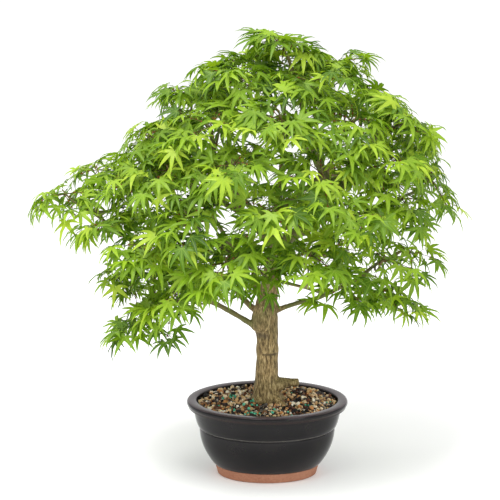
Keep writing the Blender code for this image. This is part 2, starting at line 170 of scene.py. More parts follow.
def oval_shell(name, profile, sides):
    """An oval body: one ring drawn out and resized through a profile of (half length, height)."""
    half, height = profile[0]
    bpy.ops.object.select_all(action="DESELECT")
    bpy.ops.mesh.primitive_circle_add(vertices=sides, fill_type="NGON", location=(0, 0, 0))
    shell = bpy.context.object
    shell.name = name
    shell.scale = (half, half - oval_gap, 1)
    shell.location.z = height
    bpy.ops.object.transform_apply(location=True, rotation=True, scale=True)
    bpy.ops.object.mode_set(mode="EDIT")
    bpy.ops.mesh.select_all(action="SELECT")
    for next_half, next_height in profile[1:]:
        rise = (0, 0, next_height - height)
        bpy.ops.mesh.extrude_region_move(TRANSFORM_OT_translate={"value": rise})
        across = next_half / half
        along = (next_half - oval_gap) / (half - oval_gap)
        bpy.ops.transform.resize(value=(across, along, 1), center_override=(0, 0, next_height))
        half, height = next_half, next_height
    bpy.ops.mesh.select_all(action="SELECT")
    bpy.ops.mesh.normals_make_consistent(inside=False)
    bpy.ops.object.mode_set(mode="OBJECT")
    return shell


def smooth_by_angle(piece, degrees):
    select_only(piece)
    bpy.ops.object.shade_smooth_by_angle(angle=math.radians(degrees))


def beside(half, height, *offsets):
    """Profile points at offsets from a half length and a height, in mm outwards and upwards."""
    return [(half + out * MM, height + up * MM) for out, up in offsets]


# Up the outside by way of foot, belly, band, neck and rolled rim, then down the inside.
pot_profile = beside(0, 0, (63.9, 0), (64.6, 0.5), (65.2, 2.2), (65.8, 4.5), (67.2, 9))
pot_profile += beside(0, 0, (68.2, 12.8), (69.2, 13.6))
for step in range(1, BELLY_STEPS + 1):
    down = 1 - step / BELLY_STEPS
    height = FOOT_HEIGHT + (belly_height - FOOT_HEIGHT) * step / BELLY_STEPS
    pot_profile.append((belly_half - BELLY_TAPER * down**2, height))
pot_profile += beside(belly_half, belly_height, (-0.5, 1.2), (0.9, 2.4), (2.1, 4), (4.1, 9))
pot_profile += beside(belly_half, belly_height, (5.7, 15.5))
pot_profile += beside(neck_half, belly_height, (-0.3, 22))
pot_profile += beside(neck_half, rim_height, (0, -11.6), (0.6, -10.3), (2.2, -9.6))
pot_profile += beside(rim_half, rim_height, (-2.2, -9.4))
for step in range(RIM_STEPS + 1):
    turn = math.radians(-60 + 150 * step / RIM_STEPS)
    half = rim_half - RIM_ROLL_OUT + RIM_ROLL_OUT * math.cos(turn)
    pot_profile.append((half, rim_height - RIM_ROLL_UP + RIM_ROLL_UP * math.sin(turn)))
pot_profile += beside(rim_half, rim_height, (-7, -0.1), (-10.8, -0.3), (-12.3, -0.8), (-13, -1.9))
pot_profile += beside(rim_half, rim_height, (-13.3, -4.6))
pot_profile += beside(neck_half, rim_height, (-6.2, -12))
pot_profile += beside(belly_half, belly_height, (-6, 0))
pot_profile += beside(belly_half, 0, (-9, 36), (-17, 20), (-26, 9))
pot = oval_shell("glazed_pot", pot_profile, 144)


def cut_away(piece, cutter):
    """Takes the cutter's shape out of the piece, and the cutter out of the scene."""
    select_only(piece)
    carve = piece.modifiers.new("Cut", "BOOLEAN")
    carve.object = cutter
    carve.solver = "EXACT"
    bpy.ops.object.modifier_apply(modifier=carve.name)
    bpy.data.objects.remove(cutter)


recess_profile = [(RECESS_HALF, -RECESS_DEPTH), (RECESS_HALF, RECESS_DEPTH)]
foot_recess = oval_shell("foot_recess", recess_profile, 96)
bpy.ops.mesh.primitive_cube_add(size=1, location=(0, 0, 0))
foot_rib = bpy.context.object
foot_rib.scale = (RIB_WIDTH, 0.2, 4 * RECESS_DEPTH)
bpy.ops.object.transform_apply(location=False, rotation=False, scale=True)
cut_away(foot_recess, foot_rib)
cut_away(pot, foot_recess)
for hole_x in (-HOLE_OUT, HOLE_OUT):
    size = {"vertices": 40, "radius": HOLE_RADIUS, "depth": 40 * MM}
    bpy.ops.mesh.primitive_cylinder_add(**size, location=(hole_x, 0, 0))
    cut_away(pot, bpy.context.object)
smooth_by_angle(pot, 32)


def new_material(name):
    """A material with nodes, its node tree and its Principled shader."""
    made = bpy.data.materials.new(name)
    made.use_nodes = True
    tree = made.node_tree
    return made, tree, tree.nodes["Principled BSDF"]


def object_place(tree, scale=(1, 1, 1)):
    """Object coordinates, stretched, as a pattern's place."""
    place = tree.nodes.new("ShaderNodeTexCoord")
    mapping = tree.nodes.new("ShaderNodeMapping")
    mapping.inputs["Scale"].default_value = scale
    tree.links.new(place.outputs["Object"], mapping.inputs["Vector"])
    return mapping.outputs["Vector"]


def noise_field(tree, vector, scale, detail=4, roughness=0.55):
    """Soft noise between zero and one, with scale patches to the metre."""
    field = tree.nodes.new("ShaderNodeTexNoise")
    field.inputs["Scale"].default_value = scale
    field.inputs["Detail"].default_value = detail
    field.inputs["Roughness"].default_value = roughness
    tree.links.new(vector, field.inputs["Vector"])
    return field.outputs["Fac"]


def ramp(tree, value, stops):
    """Colours along a value, from (place, colour) stops."""
    made = tree.nodes.new("ShaderNodeValToRGB")
    while len(made.color_ramp.elements) < len(stops):
        made.color_ramp.elements.new(0.5)
    for element, (place, colour) in zip(made.color_ramp.elements, stops):
        element.position = place
        element.color = (*colour, 1)
    tree.links.new(value, made.inputs["Fac"])
    return made.outputs["Color"]


def mixed(tree, share, first, second, blend="MIX"):
    """Two colours mixed by a share, each a socket or a colour."""
    made = tree.nodes.new("ShaderNodeMix")
    made.data_type = "RGBA"
    made.blend_type = blend
    factor_a_b = (made.inputs[0], made.inputs[6], made.inputs[7])  # the sockets of a colour mix
    for socket, value in zip(factor_a_b, (share, first, second)):
        if isinstance(value, bpy.types.NodeSocket):
            tree.links.new(value, socket)
        elif isinstance(value, tuple):
            socket.default_value = (*value, 1)
        else:
            socket.default_value = value
    return made.outputs[2]


def calc(tree, first, operation, second):
    """Two numbers, each a socket or a value, put through one operation."""
    made = tree.nodes.new("ShaderNodeMath")
    made.operation = operation
    for socket, value in ((made.inputs[0], first), (made.inputs[1], second)):
        if isinstance(value, bpy.types.NodeSocket):
            tree.links.new(value, socket)
        else:
            socket.default_value = value
    return made.outputs[0]


def fade_of(tree, value, start, end, at_start, at_end):
    """A value carried smoothly from at_start to at_end as another goes from start to end."""
    made = tree.nodes.new("ShaderNodeMapRange")
    made.interpolation_type = "SMOOTHSTEP"
    tree.links.new(value, made.inputs["Value"])
    made.inputs["From Min"].default_value = start
    made.inputs["From Max"].default_value = end
    made.inputs["To Min"].default_value = at_start
    made.inputs["To Max"].default_value = at_end
    return made.outputs["Result"]


def bump(tree, shader, height, strength, distance):
    """Bends the shader's normals by a height field, as high as distance in metres."""
    made = tree.nodes.new("ShaderNodeBump")
    made.inputs["Strength"].default_value = strength
    made.inputs["Distance"].default_value = distance
    tree.links.new(height, made.inputs["Height"])
    tree.links.new(made.outputs["Normal"], shader.inputs["Normal"])


glaze, glaze_tree, glaze_shader = new_material("charcoal_glaze_on_clay")
pot_place = object_place(glaze_tree)
height_of = glaze_tree.nodes.new("ShaderNodeSeparateXYZ")
glaze_tree.links.new(pot_place, height_of.inputs["Vector"])
edge_wave = calc(glaze_tree, noise_field(glaze_tree, pot_place, 55, 3), "MULTIPLY", 1.1 * MM)
glaze_line = calc(glaze_tree, height_of.outputs["Z"], "ADD", edge_wave)
is_glazed = calc(glaze_tree, glaze_line, "GREATER_THAN", FOOT_HEIGHT + 0.3 * MM)
glaze_cloud = noise_field(glaze_tree, pot_place, 28, 6, 0.6)
glaze_stops = [(0.3, (0.0035, 0.003, 0.0035)), (0.55, (0.006, 0.005, 0.0055))]
glaze_stops.append((0.75, (0.010, 0.008, 0.008)))
glaze_colour = ramp(glaze_tree, glaze_cloud, glaze_stops)
clay_grain = noise_field(glaze_tree, pot_place, 420, 5, 0.7)
clay_stops = [(0.3, (0.33, 0.145, 0.085)), (0.55, (0.41, 0.195, 0.12)), (0.8, (0.50, 0.27, 0.18))]
clay_colour = ramp(glaze_tree, clay_grain, clay_stops)
clay_patches = noise_field(glaze_tree, pot_place, 30, 3)
clay_shade = ramp(glaze_tree, clay_patches, [(0.35, (0.86, 0.82, 0.80)), (0.7, (1.0, 1.0, 1.0))])
clay_colour = mixed(glaze_tree, 1.0, clay_colour, clay_shade, "MULTIPLY")


def near_height(height, spread, strength):
    """A share that peaks at a height on the pot and fades over spread to either side."""
    off = calc(glaze_tree, calc(glaze_tree, glaze_line, "SUBTRACT", height), "ABSOLUTE", 0)
    return fade_of(glaze_tree, off, 0, spread, strength, 0)


# Lighter bands painted on the glaze: a painted highlight along the band's edge, where the glaze
# also runs thin; a brown tone under the rim, where the glaze runs thin; and a painted reflection
# of light along the rim's top.
thin_glaze_and_highlights = [
    (belly_height + 3.0 * MM, 1.5 * MM, 0.8, (0.105, 0.098, 0.088)),
    (rim_height - 6.5 * MM, 3.5 * MM, 0.6, (0.024, 0.012, 0.010)),
    (rim_height + 0.3 * MM, 1.6 * MM, 0.85, (0.110, 0.080, 0.090)),
]
for height, spread, strength, colour in thin_glaze_and_highlights:
    thinned_and_lit = near_height(height, spread, strength)
    glaze_colour = mixed(glaze_tree, thinned_and_lit, glaze_colour, colour)
pot_colour = mixed(glaze_tree, is_glazed, clay_colour, glaze_colour)
glaze_tree.links.new(pot_colour, glaze_shader.inputs["Base Color"])
glaze_rough = calc(glaze_tree, glaze_cloud, "MULTIPLY", 0.20)
glaze_rough = calc(glaze_tree, glaze_rough, "ADD", 0.05)
glaze_shader.inputs["Specular IOR Level"].default_value = 0.2
rough_mix = mixed(glaze_tree, is_glazed, (0.85, 0.85, 0.85), glaze_rough)
glaze_tree.links.new(rough_mix, glaze_shader.inputs["Roughness"])
glaze_ripple = noise_field(glaze_tree, object_place(glaze_tree, (1, 1, 2.2)), 70, 3)
clay_ripple = calc(glaze_tree, clay_grain, "MULTIPLY", 0.6)
pot_ripple = mixed(glaze_tree, is_glazed, clay_ripple, glaze_ripple)
bump(glaze_tree, glaze_shader, pot_ripple, 0.3, 0.4 * MM)


def give_finish(piece, finish):
    piece.data.materials.clear()
    piece.data.materials.append(finish)


give_finish(pot, glaze)
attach(pot, "root")
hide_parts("pot")


# ---------------------------------------------------------------------------------------------
# Drainage meshes and soil.
# Squares of black plastic mesh over the two holes, and the dark potting mix under the grit. Both
# lie inside the pot, so their plain shapes stay and only take their finish.

mesh_plastic, mesh_tree, mesh_shader = new_material("drainage_mesh_black")
mesh_wear = noise_field(mesh_tree, object_place(mesh_tree), 300, 4)
mesh_colour = ramp(mesh_tree, mesh_wear, [(0.3, (0.012, 0.012, 0.012)), (0.8, (0.03, 0.03, 0.03))])
mesh_tree.links.new(mesh_colour, mesh_shader.inputs["Base Color"])
mesh_shader.inputs["Roughness"].default_value = 0.55
bump(mesh_tree, mesh_shader, mesh_wear, 0.2, 0.1 * MM)
for side in ("left", "right"):
    give_finish(frame["nodes"][f"drainage_mesh_{side}"], mesh_plastic)

soil_mix, soil_tree, soil_shader = new_material("dark_potting_mix")
soil_grain = noise_field(soil_tree, object_place(soil_tree), 380, 6, 0.7)
soil_stops = [(0.3, (0.012, 0.007, 0.004)), (0.5, (0.045, 0.026, 0.014))]
soil_stops.append((0.72, (0.13, 0.08, 0.045)))
soil_tree.links.new(ramp(soil_tree, soil_grain, soil_stops), soil_shader.inputs["Base Color"])
soil_shader.inputs["Roughness"].default_value = 0.95
bump(soil_tree, soil_shader, soil_grain, 0.9, 1.5 * MM)
give_finish(frame["nodes"]["soil"], soil_mix)


# ---------------------------------------------------------------------------------------------
# Grit and fertiliser.
# A top dressing of loose, angular grit 3 to 6 mm across, in tan, orange, brown, grey and black,
# on a bed of its own fines, with a few slow-release fertiliser pellets among the stones.

BED_RISE = 2.4 * MM  # the bed's swell at its middle
BED_RINGS = (0.93, 0.86, 0.79, 0.72, 0.65, 0.58, 0.51, 0.44, 0.37, 0.31, 0.26)
STONE_SHAPES = 8
STONE_COUNT = 2400
STONE_SIZES = (2.6, 3.2, 3.8, 4.6, 5.6, 7.0)
TRUNK_CLEARANCE = 13 * MM
CHIP_COUNT = 60
CHIP_HEAP = (42 * MM, 26 * MM)
CHIP_SPREAD = 13 * MM

grit_low, grit_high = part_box("gravel_top_dressing")
bed_half = grit_high.x
bed_top = rim_height - 5.0 * MM


def bed_rise(out):
    """The bed's height at a share of the way from its middle to its edge."""
    return bed_top + BED_RISE * (1 - out**2)


bed_profile = [(bed_half - 3 * MM, grit_low.z)]
bed_profile += beside(bed_half, bed_top, (0, -1), (-0.6, 0))
bed_profile += [(bed_half * share, bed_rise(share)) for share in BED_RINGS]
grit_bed = oval_shell("grit_bed", bed_profile, 128)
for vertex in grit_bed.data.vertices:
    if vertex.co.z > bed_top - 0.5 * MM:
        vertex.co.z += noise.noise(vertex.co * 260) * 0.9 * MM
smooth_by_angle(grit_bed, 60)
give_finish(grit_bed, soil_mix)
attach(grit_bed, "root")

chance = random.Random(7)


def grit_stone(seed):
    """One angular stone about one unit across: a cut cube rounded and knocked out of true."""
    bpy.ops.object.select_all(action="DESELECT")
    bpy.ops.mesh.primitive_cube_add(size=1, location=(0, 0, 0))
    stone = bpy.context.object
    bpy.ops.object.mode_set(mode="EDIT")
    bpy.ops.mesh.select_all(action="SELECT")
    bpy.ops.mesh.subdivide(number_cuts=1)
    bpy.ops.transform.tosphere(value=0.72)
    bpy.ops.object.mode_set(mode="OBJECT")
    shift = random.Random(seed)
    for vertex in stone.data.vertices:
        vertex.co *= 1 + shift.uniform(-0.17, 0.17)
        vertex.co += Vector([shift.uniform(-0.06, 0.06) for _ in range(3)])
    points = np.array([vertex.co for vertex in stone.data.vertices])
    faces = [tuple(face.vertices) for face in stone.data.polygons]
    bpy.data.objects.remove(stone)
    return points / np.abs(points).max() / 2, faces


def joined_copies(name, shapes, copies):
    """One mesh of copies, each a (shape, turn and size, place, tint), its tint on its points."""
    points = []
    faces = []
    tints = []
    first = 0
    for shape, turn, place, tint in copies:
        source, source_faces = shapes[shape]
        points.append(source @ np.array(turn).T + np.array(place))
        faces.extend(tuple(corner + first for corner in face) for face in source_faces)
        tints.extend([tint] * len(source))
        first += len(source)
    mesh = bpy.data.meshes.new(name)
    mesh.from_pydata(np.concatenate(points).tolist(), [], faces)
    mesh.update()
    mesh.attributes.new("tint", "FLOAT", "POINT").data.foreach_set("value", tints)
    piece = bpy.data.objects.new(name, mesh)
    bpy.context.scene.collection.objects.link(piece)
    return piece


def random_turn(source):
    """A turn by any angle about any axis."""
    axis = Vector([source.gauss(0, 1) for _ in range(3)]).normalized()
    return Quaternion(axis, source.uniform(0, math.tau)).to_matrix()


def bed_height(x, y):
    """The bed's height at a place on it."""
    return bed_rise(min(1.0, math.hypot(x, y * bed_half / (bed_half - oval_gap)) / bed_half))


stone_shapes = [grit_stone(seed) for seed in range(STONE_SHAPES)]
stones = []
for _ in range(STONE_COUNT):
    out = math.sqrt(chance.random())
    turn = chance.uniform(0, math.tau)
    size = chance.choice(STONE_SIZES) * MM * chance.uniform(0.85, 1.15)
    reach = bed_half - size * 0.6
    x = out * reach * math.cos(turn)
    y = out * (reach - oval_gap) * math.sin(turn)
    if math.hypot(x, y) < TRUNK_CLEARANCE:
        continue
    tint = chance.random()
    if noise.noise(Vector((x * 42, y * 42, 3.7))) > 0.16 and tint > 0.35:
        tint = chance.uniform(0, 0.5)
    shape_turn = random_turn(chance)
    squash = Matrix.Diagonal((1, chance.uniform(0.65, 0.9), chance.uniform(0.5, 0.8))) * size
    place = (x, y, bed_height(x, y) + size * chance.uniform(-0.05, 0.42))
    stones.append((chance.randrange(STONE_SHAPES), shape_turn @ squash, place, tint))
for _ in range(CHIP_COUNT):
    turn = chance.uniform(0, math.tau)
    out = CHIP_SPREAD * math.sqrt(chance.random())
    x = CHIP_HEAP[0] + out * math.cos(turn)
    y = CHIP_HEAP[1] + out * 0.9 * math.sin(turn)
    chip = random_turn(chance) @ Matrix.Diagonal((1, 0.5, 0.28)) * chance.uniform(5, 9.5) * MM
    place = (x, y, bed_height(x, y) + chance.uniform(2, 8) * MM * (1.15 - out / CHIP_SPREAD))
    stones.append((chance.randrange(STONE_SHAPES), chip, place, chance.uniform(0.15, 0.285)))
grit = joined_copies("grit_stones", stone_shapes, stones)
smooth_by_angle(grit, 38)


def stored(tree, name):
    """A number stored on the mesh's points."""
    made = tree.nodes.new("ShaderNodeAttribute")
    made.attribute_name = name
    return made.outputs["Fac"]


stone_finish, stone_tree, stone_shader = new_material("mixed_grit")
stone_stops = [
    (0.00, (0.008, 0.006, 0.006)), (0.14, (0.024, 0.011, 0.008)), (0.22, (0.13, 0.042, 0.016)),
    (0.29, (0.22, 0.105, 0.046)), (0.37, (0.58, 0.26, 0.09)), (0.46, (0.62, 0.39, 0.19)),
    (0.58, (0.74, 0.54, 0.33)), (0.70, (0.86, 0.72, 0.52)), (0.79, (0.38, 0.32, 0.27)),
    (0.86, (0.10, 0.085, 0.08)), (0.92, (0.97, 0.90, 0.78)),
]
stone_colours = ramp(stone_tree, stored(stone_tree, "tint"), stone_stops)
stone_colours.node.color_ramp.interpolation = "CONSTANT"
stone_speckle = noise_field(stone_tree, object_place(stone_tree), 900, 5, 0.7)
stone_veil = ramp(stone_tree, stone_speckle, [(0.3, (0.6, 0.54, 0.48)), (0.55, (1.1, 1.08, 1.05))])
stone_colour = mixed(stone_tree, 0.8, stone_colours, stone_veil, "MULTIPLY")
stone_tree.links.new(stone_colour, stone_shader.inputs["Base Color"])
stone_shader.inputs["Roughness"].default_value = 0.75
bump(stone_tree, stone_shader, stone_speckle, 0.5, 0.3 * MM)
give_finish(grit, stone_finish)
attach(grit, "root")
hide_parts("gravel_top_dressing")

# Lone pellets as (x, y, width), and heaps as (x, y, how many), in mm.
pellet_places = [(-24, -44, 4.5), (-30, -26, 4.5), (6, -56, 4.5)]
pellet_heaps = [(-47, 9, 9), (-56, 2, 4), (-20, -17, 8), (-17, -31, 5), (-16, -62, 9)]
pellet_heaps += [(-24, -60, 4), (27, 21, 2), (55, -30, 3), (79, -15, 2), (-62, -30, 3)]
pellet_heaps += [(8, -44, 3), (-40, -44, 3), (30, -58, 2), (-12, 40, 4)]
for heap_x, heap_y, count in pellet_heaps:
    for _ in range(count):
        place_x = heap_x + chance.gauss(0, 2.8)
        place_y = heap_y + chance.gauss(0, 2.6)
        pellet_places.append((place_x, place_y, chance.uniform(1.7, 3.3)))
pellets = []
for x, y, width in pellet_places:
    place = (x * MM, y * MM, bed_height(x * MM, y * MM) + chance.uniform(3.0, 4.4) * MM)
    shape = chance.randrange(STONE_SHAPES)
    pellets.append((shape, random_turn(chance) * width * MM, place, chance.random()))
pellet_piece = joined_copies("fertiliser_pellets", stone_shapes, pellets)
smooth_by_angle(pellet_piece, 80)
pellet_finish, pellet_tree, pellet_shader = new_material("blue_green_fertiliser")
pellet_stops = [(0.0, (0.01, 0.26, 0.15)), (0.5, (0.04, 0.50, 0.31)), (1.0, (0.20, 0.72, 0.50))]
pellet_colour = ramp(pellet_tree, stored(pellet_tree, "tint"), pellet_stops)
pellet_dust = noise_field(pellet_tree, object_place(pellet_tree), 700, 4)
pellet_veil = ramp(pellet_tree, pellet_dust, [(0.35, (0.6, 0.6, 0.55)), (0.65, (1, 1, 1))])
pellet_colour = mixed(pellet_tree, 0.7, pellet_colour, pellet_veil, "MULTIPLY")
pellet_tree.links.new(pellet_colour, pellet_shader.inputs["Base Color"])
pellet_shader.inputs["Roughness"].default_value = 0.6
bump(pellet_tree, pellet_shader, pellet_dust, 0.3, 0.2 * MM)
give_finish(pellet_piece, pellet_finish)
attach(pellet_piece, "root")
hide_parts("fertiliser_pellet_1", "fertiliser_pellet_2", "fertiliser_pellet_3")


# ---------------------------------------------------------------------------------------------
# Trunk, roots and branches.
# Living maple wood, grown as one piece: olive-brown bark in fine upright ridges on the trunk,
# smoother and greener on the branches, with a sawn stub at the foot.

TRUNK_REACH = 62 * MM
STUB_REACH = 87 * MM
trunk_top = rim_height + 262 * MM
wood_node = frame["nodes"]["tree_wood"]


def copied_wood(name):
    """A copy of the tree's CAD mesh with its loose triangles merged."""
    copy = wood_node.copy()
    copy.data = wood_node.data.copy()
    copy.name = name
    for key in list(copy.keys()):
        del copy[key]
    copy.parent = None
    bpy.context.scene.collection.objects.link(copy)
    select_only(copy)
    bpy.ops.object.mode_set(mode="EDIT")
    bpy.ops.mesh.select_all(action="SELECT")
    bpy.ops.mesh.remove_doubles(threshold=0.02 * MM)
    bpy.ops.mesh.tris_convert_to_quads()
    bpy.ops.object.mode_set(mode="OBJECT")
    return copy


def keep_trunk(piece):
    """Cuts the piece down to the trunk: what is near its axis and under the first big fork."""
    select_only(piece)
    bpy.ops.object.mode_set(mode="EDIT")
    cuts = [((0, 0, trunk_top), (0, 0, 1))]
    cuts += [((STUB_REACH, 0, 0), (1, 0, 0)), ((-TRUNK_REACH, 0, 0), (-1, 0, 0))]
    cuts += [((0, TRUNK_REACH, 0), (0, 1, 0)), ((0, -TRUNK_REACH, 0), (0, -1, 0))]
    for place, facing in cuts:
        bpy.ops.mesh.select_all(action="SELECT")
        bpy.ops.mesh.bisect(plane_co=place, plane_no=facing, use_fill=True, clear_outer=True)
    bpy.ops.object.mode_set(mode="OBJECT")


def add_modifier(piece, kind, **settings):
    """Adds a modifier with its settings and applies it."""
    select_only(piece)
    modifier = piece.modifiers.new(kind.title(), kind)
    for key, value in settings.items():
        setattr(modifier, key, value)
    bpy.ops.object.modifier_apply(modifier=modifier.name)


trunk = copied_wood("trunk_bark")
keep_trunk(trunk)
add_modifier(trunk, "REMESH", mode="VOXEL", voxel_size=1.0 * MM)
add_modifier(trunk, "SMOOTH", factor=0.5, iterations=14)


def bark_relief(place):
    """How far the bark stands out at a place: upright ridges, broken by fine cracks."""
    upright = Vector((place.x * 330, place.y * 330, place.z * 42))
    ridges = 1 - abs(noise.noise(upright)) * 2
    fine = noise.noise(Vector((place.x * 900, place.y * 900, place.z * 130)))
    lumps = noise.noise(place * 75)
    return (ridges * 0.24 + fine * 0.26 + lumps * 0.9) * MM


KNOB_OUT = 4.6 * MM
KNOB_HALF_WIDTH = 14 * MM
KNOB_HALF_DEPTH = 16 * MM
KNOB_RISE = 28 * MM
KNOB_FALL = 14 * MM
FOLD_DROP = 17 * MM
FOLD_DEPTH = 1.6 * MM
FOLD_HALF_WIDTH = 13 * MM
SCAR_HALF_WIDTH = 11 * MM
knob = Vector((-9 * MM, -10 * MM, rim_height + 105 * MM))
scar_height = rim_height + 63 * MM


def trunk_marks(place):
    """How far the trunk swells where the lowest limb leaves it, less the fold under that swelling,
    and the ridge and groove of an old scar across the front."""
    off = place - knob
    tall = KNOB_RISE if off.z > 0 else KNOB_FALL
    flat = (off.x / KNOB_HALF_WIDTH) ** 2 + (off.y / KNOB_HALF_DEPTH) ** 2
    out = math.sqrt(flat + (off.z / tall) ** 2)
    swelling = max(0.0, 1 - out**4) * KNOB_OUT
    fold = math.exp(-((off.z + FOLD_DROP) / (3 * MM)) ** 2)
    if place.y < 0:
        swelling -= FOLD_DEPTH * fold * max(0.0, 1 - (off.x / FOLD_HALF_WIDTH) ** 2)
    if place.y > 0 or abs(place.x) > SCAR_HALF_WIDTH:
        return swelling
    along = 1 - (place.x / SCAR_HALF_WIDTH) ** 2
    height = (place.z - scar_height) / MM - noise.noise(place * 160) * 1.5
    ridge = 0.9 * math.exp(-((height - 1.8) ** 2))
    groove = 1.3 * math.exp(-(height**2))
    return swelling + along * (ridge - groove) * MM


branch_fade_start = rim_height + 120 * MM
trunk_facings = [vertex.normal.copy() for vertex in trunk.data.vertices]
for vertex, facing in zip(trunk.data.vertices, trunk_facings):
    fade = 1 - 0.65 * min(1, max(0, (vertex.co.z - branch_fade_start) / (110 * MM)))
    vertex.co += facing * (bark_relief(vertex.co) * fade + trunk_marks(vertex.co))
branches = copied_wood("branches")
add_modifier(branches, "SUBSURF", levels=1, render_levels=1)
select_only(trunk)
branches.select_set(True)
bpy.ops.object.join()
wood = trunk
wood.name = "maple_wood"
bpy.ops.object.shade_smooth()

bark, bark_tree, bark_shader = new_material("maple_bark")
bark_place = object_place(bark_tree)
bark_split = bark_tree.nodes.new("ShaderNodeSeparateXYZ")
bark_tree.links.new(bark_place, bark_split.inputs["Vector"])
streaks = noise_field(bark_tree, object_place(bark_tree, (1, 1, 0.22)), 430, 6, 0.72)
streak_stops = [(0.32, (0.028, 0.017, 0.007)), (0.44, (0.125, 0.085, 0.034))]
streak_stops += [(0.54, (0.30, 0.22, 0.100)), (0.70, (0.60, 0.49, 0.29))]
bark_colour = ramp(bark_tree, streaks, streak_stops)
patches = noise_field(bark_tree, bark_place, 34, 4)
patch_tint = ramp(bark_tree, patches, [(0.35, (0.72, 0.74, 0.60)), (0.65, (1.1, 1.02, 0.9))])
bark_colour = mixed(bark_tree, 0.85, bark_colour, patch_tint, "MULTIPLY")


def bark_fade(axis, start, end, at_start, at_end):
    """A share that changes along one axis of the tree."""
    return fade_of(bark_tree, bark_split.outputs[axis], start, end, at_start, at_end)


def height_band(start, full, fading, end):
    """A share of one between two heights on the trunk, fading out below and above."""
    rising = bark_fade("Z", start, full, 0, 1)
    return calc(bark_tree, rising, "MULTIPLY", bark_fade("Z", fading, end, 1, 0))


# Painted shade: darker bark in the fold under the lowest limb and in the groove of the scar.
fold_height = knob.z - FOLD_DROP
fold = height_band(fold_height - 8 * MM, fold_height, fold_height, fold_height + 7 * MM)
fold = calc(bark_tree, fold, "MULTIPLY", bark_fade("X", -2 * MM, 6 * MM, 1, 0))
scar_foot = scar_height - 0.5 * MM
scar = height_band(scar_foot - 2 * MM, scar_foot, scar_height, scar_height + 1.6 * MM)
scar = calc(bark_tree, scar, "MULTIPLY", bark_fade("X", -9 * MM, -4 * MM, 0, 1))
painted_crease_shade = calc(bark_tree, fold, "MAXIMUM", scar)
painted_crease_shade = calc(bark_tree, painted_crease_shade, "MULTIPLY", bark_fade("Y", -9 * MM, -3 * MM, 1, 0))
painted_crease_shade = calc(bark_tree, painted_crease_shade, "MULTIPLY", 0.75)
bark_colour = mixed(bark_tree, painted_crease_shade, bark_colour, (0.040, 0.026, 0.012))

# Young wood, out on the limbs and high in the crown, is smoother, greener and redder.
young_stops = [(0.35, (0.085, 0.105, 0.022)), (0.6, (0.15, 0.12, 0.04)), (0.8, (0.16, 0.07, 0.035))]
young = ramp(bark_tree, patches, young_stops)
out_of_axis = bark_tree.nodes.new("ShaderNodeVectorMath")
out_of_axis.operation = "LENGTH"
bark_tree.links.new(object_place(bark_tree, (1, 1, 0)), out_of_axis.inputs[0])
side_share = fade_of(bark_tree, out_of_axis.outputs["Value"], 15 * MM, 30 * MM, 0, 1)
above_roots = bark_fade("Z", rim_height + 60 * MM, rim_height + 75 * MM, 0, 1)
young_share = calc(bark_tree, side_share, "MULTIPLY", above_roots)
high_share = bark_fade("Z", rim_height + 110 * MM, rim_height + 210 * MM, 0, 1)
young_share = calc(bark_tree, high_share, "MAXIMUM", young_share)
bark_colour = mixed(bark_tree, young_share, bark_colour, young)
bark_tree.links.new(bark_colour, bark_shader.inputs["Base Color"])
bark_shader.inputs["Roughness"].default_value = 0.82
bump(bark_tree, bark_shader, streaks, 0.7, 0.6 * MM)
give_finish(wood, bark)
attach(wood, "root")
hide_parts("tree_wood")


# ---------------------------------------------------------------------------------------------
# Leaf sprays.
# At the end of each twig, fine shoots spread out and carry maple leaves in pairs on thin stalks.
# A leaf has five or seven narrow, pointed lobes, thin and slightly folded, drooping at the tips.

# Each kind of leaf as its lobes' (direction in degrees, length as a share of the middle lobe).
leaf_kinds = [
    [(-112, 0.40), (-74, 0.70), (-36, 0.92), (0, 1.0), (36, 0.92), (74, 0.70), (112, 0.40)],
    [(-104, 0.36), (-68, 0.66), (-33, 0.90), (0, 1.0), (35, 0.94), (71, 0.72), (110, 0.42)],
    [(-92, 0.58), (-45, 0.86), (0, 1.0), (45, 0.88), (92, 0.60)],
    [(-86, 0.52), (-40, 0.88), (0, 1.0), (42, 0.84), (88, 0.55)],
    [(-118, 0.46), (-78, 0.76), (-38, 0.96), (0, 0.98), (37, 0.95), (77, 0.74), (116, 0.44)],
    [(-98, 0.62), (-48, 0.92), (0, 1.0), (46, 0.90), (95, 0.64)],
]
LOBE_ROWS = ((0.46, 0.094), (0.77, 0.052))  # (share of the lobe's length, half width)
STALK_SIDES = 3
SHOOT_TILTS = (-28, 18, -6, 36, -16, 26, 8)
SMALL_SPRAY = 39 * MM  # a spray of this radius or less has fewer shoots
SMALL_SPRAY_SHOOTS = 5
LEAF_PAIR_PLACES = (0.42, 0.72, 1.0)
LEAF_LENGTHS = (22, 34)
LEAF_STALKS = (8, 17)
LEAF_DROOPS = (-0.25, 0.8)
# Low on its right side the crown is more open: fewer shoots, with fewer leaves on each.
OPEN_SIDE_START = 68 * MM
OPEN_SIDE_TOP = 330 * MM
OPEN_SIDE_SHOOTS = 4
# How far a leaf may reach past the CAD box: a share of each side, and a length.
BOX_ROOM_SHARE = 0.025
BOX_ROOM = 8 * MM


